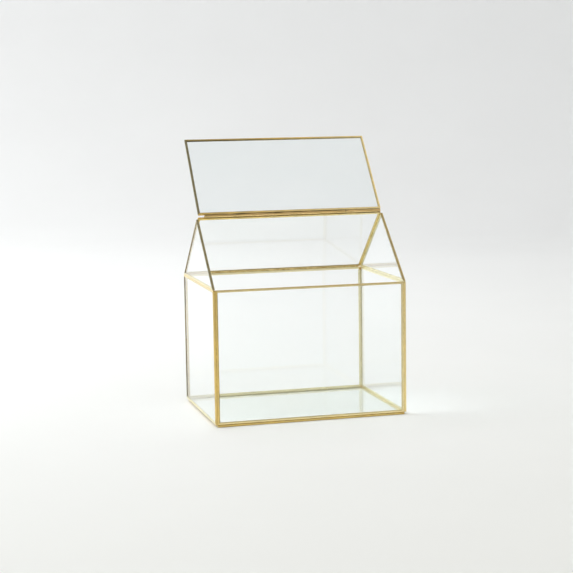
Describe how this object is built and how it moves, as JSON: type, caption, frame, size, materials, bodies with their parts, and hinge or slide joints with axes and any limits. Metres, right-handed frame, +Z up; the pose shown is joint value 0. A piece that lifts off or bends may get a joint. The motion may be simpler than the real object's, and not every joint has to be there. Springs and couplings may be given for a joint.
{
  "type": "card box",
  "caption": "House-shaped clear glass box edged in brass channel, whose front roof slope is a lid hinged along the ridge and leaning open, for wedding cards or gifts.",
  "frame": {"origin": "centre of the object's footprint, on the surface that the box stands on, with the lid leaning open", "axes": "+X along the ridge towards the box's right side as seen from the front, +Y to the back, +Z up"},
  "size_m": [0.26, 0.19, 0.365],
  "materials": {
    "channel_brass": "satin, lightly tarnished folded brass sheet",
    "hinge_brass": "satin drawn tube and rod",
    "solder": "brass-plated solder, smooth and slightly lumpy",
    "wall_glass": "clear float glass, faint green tint",
    "floor_glass": "clear float glass, faint green tint",
    "lid_glass": "clear float glass, faint blue-green tint"
  },
  "bodies": {
    "box": {"floor_glass": "floor_glass", "floor_channel_front": "channel_brass", "floor_channel_back": "channel_brass", "floor_channel_left": "channel_brass", "floor_channel_right": "channel_brass", "front_glass": "wall_glass", "front_channel_bottom": "channel_brass", "front_channel_top": "channel_brass", "front_channel_left": "channel_brass", "front_channel_right": "channel_brass", "back_glass": "wall_glass", "back_channel_bottom": "channel_brass", "back_channel_top": "channel_brass", "back_channel_left": "channel_brass", "back_channel_right": "channel_brass", "left_glass": "wall_glass", "left_channel_bottom": "channel_brass", "left_channel_top": "channel_brass", "left_channel_front": "channel_brass", "left_channel_back": "channel_brass", "right_glass": "wall_glass", "right_channel_bottom": "channel_brass", "right_channel_top": "channel_brass", "right_channel_front": "channel_brass", "right_channel_back": "channel_brass", "left_gable_glass": "wall_glass", "left_gable_channel_base": "channel_brass", "left_gable_channel_front": "channel_brass", "left_gable_channel_back": "channel_brass", "right_gable_glass": "wall_glass", "right_gable_channel_base": "channel_brass", "right_gable_channel_front": "channel_brass", "right_gable_channel_back": "channel_brass", "roof_glass": "wall_glass", "roof_channel_ridge": "channel_brass", "roof_channel_eave": "channel_brass", "roof_channel_left": "channel_brass", "roof_channel_right": "channel_brass", "corner_solder": "solder", "floor_seam_solder": "solder", "roof_seam_solder": "solder", "eave_seam_solder": "solder", "hinge_knuckle_centre": "hinge_brass", "centre_knuckle_solder": "solder"},
    "lid": {"lid_glass": "lid_glass", "lid_channel_hinge": "channel_brass", "lid_channel_lip": "channel_brass", "lid_channel_left": "channel_brass", "lid_channel_right": "channel_brass", "lid_corner_solder": "solder", "hinge_knuckle_left": "hinge_brass", "hinge_knuckle_right": "hinge_brass", "end_knuckle_solder": "solder", "hinge_rod": "hinge_brass"}
  },
  "joints": [
    {"name": "lid_hinge", "type": "hinge", "parent": "box", "child": "lid", "pos_m": [0, -0.00103, 0.26515], "axis": [1, 0, 0], "range_deg": [0, 171.5]}
  ]
}
